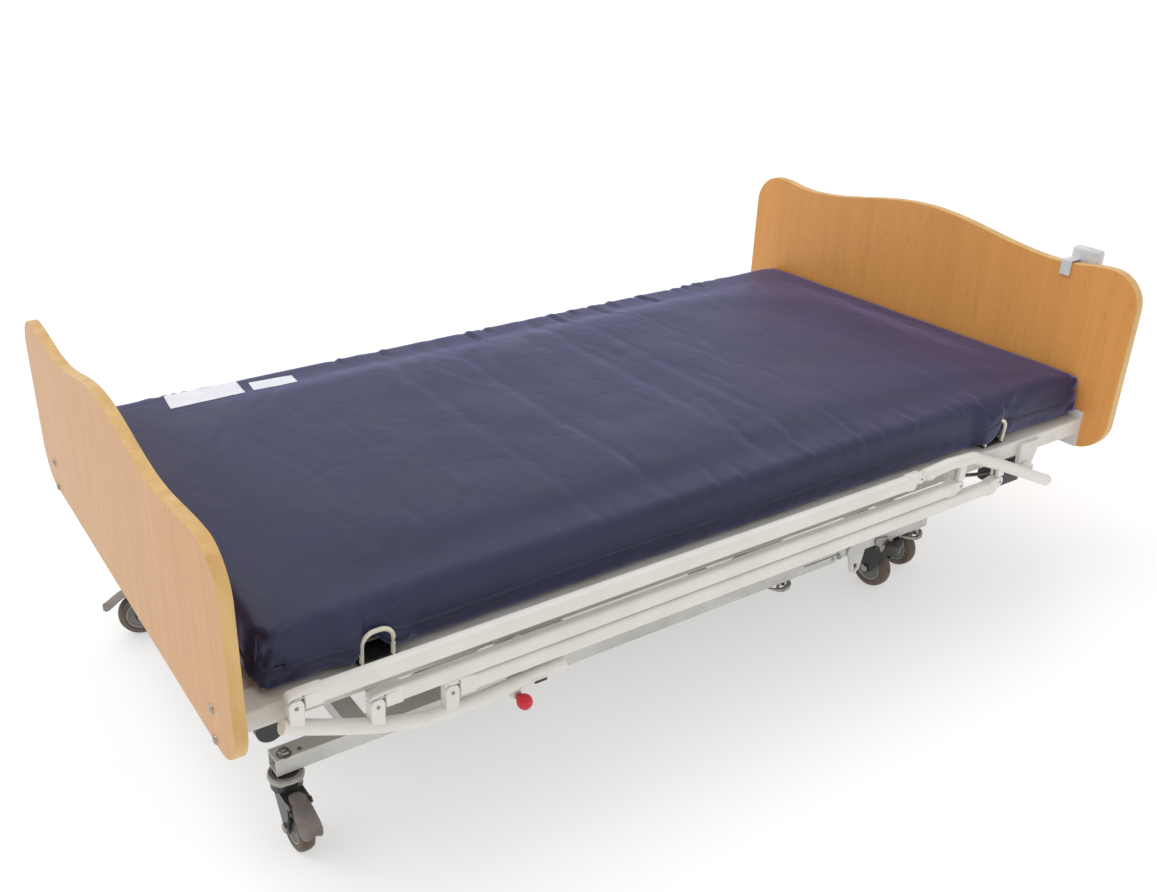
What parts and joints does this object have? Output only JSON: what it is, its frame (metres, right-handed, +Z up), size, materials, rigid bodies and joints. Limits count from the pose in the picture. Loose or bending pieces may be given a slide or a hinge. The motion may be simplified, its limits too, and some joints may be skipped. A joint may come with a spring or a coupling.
{
  "type": "adjustable hospital bed",
  "caption": "Height-adjustable care bed with wooden end boards, jointed lying surface and mattress, folding side rails on cranks, castors and a hooked handset.",
  "frame": {"origin": "on the floor under the middle of the bed", "axes": "+X from the foot end to the head end, +Z up, the near side is -Y"},
  "size_m": [2.159, 1.182, 0.801],
  "materials": {
    "beech": "satin",
    "black_plastic": "matte",
    "bolt_steel": "satin",
    "chrome": "polished",
    "cream_wire": "gloss",
    "fork_black": "satin",
    "handset_grey": "satin",
    "key_grey": "satin",
    "mattress_cover": "matte",
    "pedal_grey": "satin",
    "powder_coat": "satin",
    "red_knob": "gloss",
    "rod_steel": "satin",
    "tread": "matte"
  },
  "bodies": {
    "chassis": {"chassis_beam_near": "powder_coat", "chassis_beam_far": "powder_coat", "chassis_cross_members": "powder_coat", "chassis_fittings": "powder_coat", "chrome_rings": "chrome", "lift_actuator_housing": "black_plastic"},
    "lift_arm_foot": {"lift_arm_foot": "powder_coat"},
    "lift_arm_head": {"lift_arm_head": "powder_coat"},
    "lift_rod": {"lift_actuator_rod": "rod_steel"},
    "upper_frame": {"side_beam_near": "powder_coat", "side_beam_far": "powder_coat", "frame_cross_members": "powder_coat", "board_brackets": "powder_coat", "rail_brackets": "powder_coat", "seat_panel": "powder_coat", "seat_pad": "mattress_cover", "headboard": "beech", "footboard": "beech", "board_bolts": "bolt_steel", "back_actuator_housing": "black_plastic", "leg_actuator_housing": "black_plastic", "control_box_and_bumpers": "black_plastic"},
    "back_section": {"back_panel": "powder_coat", "back_pad": "mattress_cover", "back_retainers": "cream_wire"},
    "thigh_section": {"thigh_panel": "powder_coat", "thigh_pad": "mattress_cover"},
    "calf_section": {"calf_panel": "powder_coat", "calf_pad": "mattress_cover", "calf_retainers": "cream_wire"},
    "back_rod": {"back_actuator_rod": "rod_steel"},
    "leg_rod": {"leg_actuator_rod": "rod_steel"},
    "handset": {"handset": "handset_grey"},
    "crank_foot_near": {"crank_foot_near": "powder_coat"},
    "crank_head_near": {"crank_head_near": "powder_coat"},
    "rail_near_1": {"rail_near_1": "powder_coat"},
    "rail_near_2": {"rail_near_2": "powder_coat"},
    "rail_near_3": {"rail_near_3": "powder_coat"},
    "knob_near": {"knob_near": "red_knob"},
    "crank_foot_far": {"crank_foot_far": "powder_coat"},
    "crank_head_far": {"crank_head_far": "powder_coat"},
    "rail_far_1": {"rail_far_1": "powder_coat"},
    "rail_far_2": {"rail_far_2": "powder_coat"},
    "rail_far_3": {"rail_far_3": "powder_coat"},
    "knob_far": {"knob_far": "red_knob"},
    "castor_fork_foot_near": {"castor_fork_foot_near": "fork_black"},
    "castor_wheel_foot_near": {"castor_wheel_foot_near": "tread"},
    "brake_pedal_near": {"brake_pedal_near": "pedal_grey"},
    "castor_fork_foot_far": {"castor_fork_foot_far": "fork_black"},
    "castor_wheel_foot_far": {"castor_wheel_foot_far": "tread"},
    "brake_pedal_far": {"brake_pedal_far": "pedal_grey"},
    "castor_fork_head_near": {"castor_fork_head_near": "fork_black"},
    "castor_wheel_head_near": {"castor_wheel_head_near": "tread"},
    "castor_fork_head_far": {"castor_fork_head_far": "fork_black"},
    "castor_wheel_head_far": {"castor_wheel_head_far": "tread"},
    "transport_wheel_near": {"transport_wheel_near": "tread"},
    "transport_wheel_far": {"transport_wheel_far": "tread"},
    "key_lift": {"key_lift": "key_grey"},
    "key_leg": {"key_leg": "key_grey"},
    "key_back": {"key_back": "key_grey"}
  },
  "joints": [
    {"name": "lift", "type": "hinge", "parent": "chassis", "child": "lift_arm_foot", "pos_m": [-0.7, 0, 0.159], "axis": [0, -1, 0], "range_deg": [0, 49]},
    {"name": "lift_level", "type": "hinge", "parent": "lift_arm_foot", "child": "upper_frame", "pos_m": [-0.17179, 0, 0.345], "axis": [0, -1, 0], "range_deg": [-49, 0]},
    {"name": "lift_arm_head_turn", "type": "hinge", "parent": "chassis", "child": "lift_arm_head", "pos_m": [0.1, 0, 0.159], "axis": [0, -1, 0], "range_deg": [0, 49]},
    {"name": "lift_rod_slide", "type": "slide", "parent": "chassis", "child": "lift_rod", "axis": [-1, 0, 0], "range_m": [0, 0.08295]},
    {"name": "backrest", "type": "hinge", "parent": "upper_frame", "child": "back_section", "pos_m": [0.22, 0, 0.404], "axis": [0, -1, 0], "range_deg": [0, 65]},
    {"name": "back_rod_slide", "type": "slide", "parent": "upper_frame", "child": "back_rod", "axis": [1, 0, 0], "range_m": [0, 0.10747]},
    {"name": "thigh_raise", "type": "hinge", "parent": "upper_frame", "child": "thigh_section", "pos_m": [0, 0, 0.404], "axis": [0, 1, 0], "range_deg": [0, 30]},
    {"name": "knee", "type": "hinge", "parent": "thigh_section", "child": "calf_section", "pos_m": [-0.33, 0, 0.404], "axis": [0, 1, 0], "range_deg": [-44.7, 0]},
    {"name": "leg_rod_slide", "type": "slide", "parent": "upper_frame", "child": "leg_rod", "axis": [-1, 0, 0], "range_m": [0, 0.05177]},
    {"name": "rail_raise_near", "type": "hinge", "parent": "upper_frame", "child": "crank_foot_near", "pos_m": [-0.565, -0.56, 0.32], "axis": [0, 1, 0], "range_deg": [0, 80]},
    {"name": "rail_head_crank_near", "type": "hinge", "parent": "upper_frame", "child": "crank_head_near", "pos_m": [0.819, -0.56, 0.334], "axis": [0, 1, 0], "range_deg": [0, 80]},
    {"name": "rail_near_1_level", "type": "hinge", "parent": "crank_foot_near", "child": "rail_near_1", "pos_m": [-0.97, -0.56, 0.422], "axis": [0, 1, 0], "range_deg": [-80, 0]},
    {"name": "rail_near_2_level", "type": "hinge", "parent": "crank_foot_near", "child": "rail_near_2", "pos_m": [-0.835, -0.56, 0.369], "axis": [0, 1, 0], "range_deg": [-80, 0]},
    {"name": "rail_near_3_level", "type": "hinge", "parent": "crank_foot_near", "child": "rail_near_3", "pos_m": [-0.699, -0.56, 0.343], "axis": [0, 1, 0], "range_deg": [-80, 0]},
    {"name": "knob_pull_near", "type": "slide", "parent": "crank_foot_near", "child": "knob_near", "axis": [0, -1, 0], "range_m": [0, 0.008], "stiffness_N_per_m": 400},
    {"name": "rail_raise_far", "type": "hinge", "parent": "upper_frame", "child": "crank_foot_far", "pos_m": [-0.565, 0.56, 0.32], "axis": [0, 1, 0], "range_deg": [0, 80]},
    {"name": "rail_head_crank_far", "type": "hinge", "parent": "upper_frame", "child": "crank_head_far", "pos_m": [0.819, 0.56, 0.334], "axis": [0, 1, 0], "range_deg": [0, 80]},
    {"name": "rail_far_1_level", "type": "hinge", "parent": "crank_foot_far", "child": "rail_far_1", "pos_m": [-0.97, 0.56, 0.422], "axis": [0, 1, 0], "range_deg": [-80, 0]},
    {"name": "rail_far_2_level", "type": "hinge", "parent": "crank_foot_far", "child": "rail_far_2", "pos_m": [-0.835, 0.56, 0.369], "axis": [0, 1, 0], "range_deg": [-80, 0]},
    {"name": "rail_far_3_level", "type": "hinge", "parent": "crank_foot_far", "child": "rail_far_3", "pos_m": [-0.699, 0.56, 0.343], "axis": [0, 1, 0], "range_deg": [-80, 0]},
    {"name": "knob_pull_far", "type": "slide", "parent": "crank_foot_far", "child": "knob_far", "axis": [0, 1, 0], "range_m": [0, 0.008], "stiffness_N_per_m": 400},
    {"name": "castor_swivel_foot_near", "type": "hinge", "parent": "chassis", "child": "castor_fork_foot_near", "pos_m": [-0.928, -0.376, 0.112], "axis": [0, 0, 1], "continuous": true},
    {"name": "castor_roll_foot_near", "type": "hinge", "parent": "castor_fork_foot_near", "child": "castor_wheel_foot_near", "pos_m": [-0.928, -0.414, 0.05], "axis": [1, 0, 0], "continuous": true},
    {"name": "brake_pedal_near_press", "type": "hinge", "parent": "castor_fork_foot_near", "child": "brake_pedal_near", "pos_m": [-0.928, -0.434, 0.11], "axis": [1, 0, 0], "range_deg": [0, 12]},
    {"name": "castor_swivel_foot_far", "type": "hinge", "parent": "chassis", "child": "castor_fork_foot_far", "pos_m": [-0.928, 0.376, 0.112], "axis": [0, 0, 1], "continuous": true},
    {"name": "castor_roll_foot_far", "type": "hinge", "parent": "castor_fork_foot_far", "child": "castor_wheel_foot_far", "pos_m": [-0.96517, 0.3839, 0.05], "axis": [-0.2079, -0.9781, 0], "continuous": true},
    {"name": "brake_pedal_far_press", "type": "hinge", "parent": "castor_fork_foot_far", "child": "brake_pedal_far", "pos_m": [-0.98473, 0.38806, 0.11], "axis": [-0.2079, -0.9781, 0], "range_deg": [0, 12]},
    {"name": "castor_swivel_head_near", "type": "hinge", "parent": "chassis", "child": "castor_fork_head_near", "pos_m": [0.602, -0.378, 0.112], "axis": [0, 0, 1], "continuous": true},
    {"name": "castor_roll_head_near", "type": "hinge", "parent": "castor_fork_head_near", "child": "castor_wheel_head_near", "pos_m": [0.602, -0.34, 0.05], "axis": [-1, 0, 0], "continuous": true},
    {"name": "castor_swivel_head_far", "type": "hinge", "parent": "chassis", "child": "castor_fork_head_far", "pos_m": [0.602, 0.378, 0.112], "axis": [0, 0, 1], "continuous": true},
    {"name": "castor_roll_head_far", "type": "hinge", "parent": "castor_fork_head_far", "child": "castor_wheel_head_far", "pos_m": [0.602, 0.34, 0.05], "axis": [1, 0, 0], "continuous": true},
    {"name": "transport_wheel_near_roll", "type": "hinge", "parent": "chassis", "child": "transport_wheel_near", "pos_m": [0.729, -0.309, 0.05], "axis": [1, 0, 0], "continuous": true},
    {"name": "transport_wheel_far_roll", "type": "hinge", "parent": "chassis", "child": "transport_wheel_far", "pos_m": [0.729, 0.309, 0.05], "axis": [1, 0, 0], "continuous": true},
    {"name": "handset_lift", "type": "slide", "parent": "upper_frame", "child": "handset", "axis": [0, 0, 1], "range_m": [0, 0.12]},
    {"name": "key_lift_press", "type": "slide", "parent": "handset", "child": "key_lift", "axis": [-1, 0, 0], "range_m": [0, 0.0015], "stiffness_N_per_m": 600},
    {"name": "key_leg_press", "type": "slide", "parent": "handset", "child": "key_leg", "axis": [-1, 0, 0], "range_m": [0, 0.0015], "stiffness_N_per_m": 600},
    {"name": "key_back_press", "type": "slide", "parent": "handset", "child": "key_back", "axis": [-1, 0, 0], "range_m": [0, 0.0015], "stiffness_N_per_m": 600}
  ],
  "couplings": [
    {"joint": "lift_level", "follows": "lift", "ratio": -1},
    {"joint": "lift_arm_head_turn", "follows": "lift", "ratio": 1},
    {"joint": "lift_rod_slide", "follows": "lift", "m_per_rad": 0.09698},
    {"joint": "back_rod_slide", "follows": "backrest", "m_per_rad": 0.094723},
    {"joint": "knee", "follows": "thigh_raise", "ratio": -1.49},
    {"joint": "leg_rod_slide", "follows": "thigh_raise", "m_per_rad": 0.098862},
    {"joint": "rail_head_crank_near", "follows": "rail_raise_near", "ratio": 1},
    {"joint": "rail_near_1_level", "follows": "rail_raise_near", "ratio": -1},
    {"joint": "rail_near_2_level", "follows": "rail_raise_near", "ratio": -1},
    {"joint": "rail_near_3_level", "follows": "rail_raise_near", "ratio": -1},
    {"joint": "rail_head_crank_far", "follows": "rail_raise_far", "ratio": 1},
    {"joint": "rail_far_1_level", "follows": "rail_raise_far", "ratio": -1},
    {"joint": "rail_far_2_level", "follows": "rail_raise_far", "ratio": -1},
    {"joint": "rail_far_3_level", "follows": "rail_raise_far", "ratio": -1}
  ]
}
